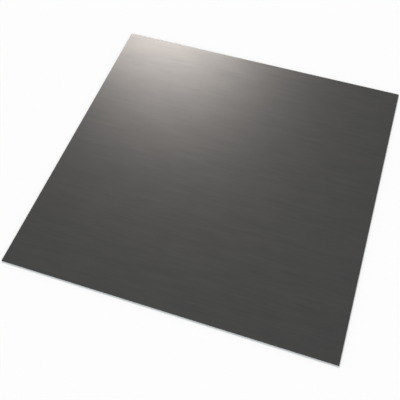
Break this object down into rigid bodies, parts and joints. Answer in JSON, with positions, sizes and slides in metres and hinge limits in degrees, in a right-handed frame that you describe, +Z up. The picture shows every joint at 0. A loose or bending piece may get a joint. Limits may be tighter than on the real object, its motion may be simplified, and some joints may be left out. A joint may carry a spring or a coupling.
{
  "type": "steel plate",
  "caption": "Flat square plate of bare rolled steel with guillotined edges, cut to size as raw stock for bending, welding, drilling or cladding.",
  "frame": {"origin": "middle of the underside", "axes": "+Z up through the thickness, X along the rolling direction, Y across it"},
  "size_m": [0.5, 0.5, 0.002],
  "materials": {
    "bare_steel": "satin"
  },
  "bodies": {
    "root": {"steel_plate": "bare_steel"}
  },
  "joints": []
}
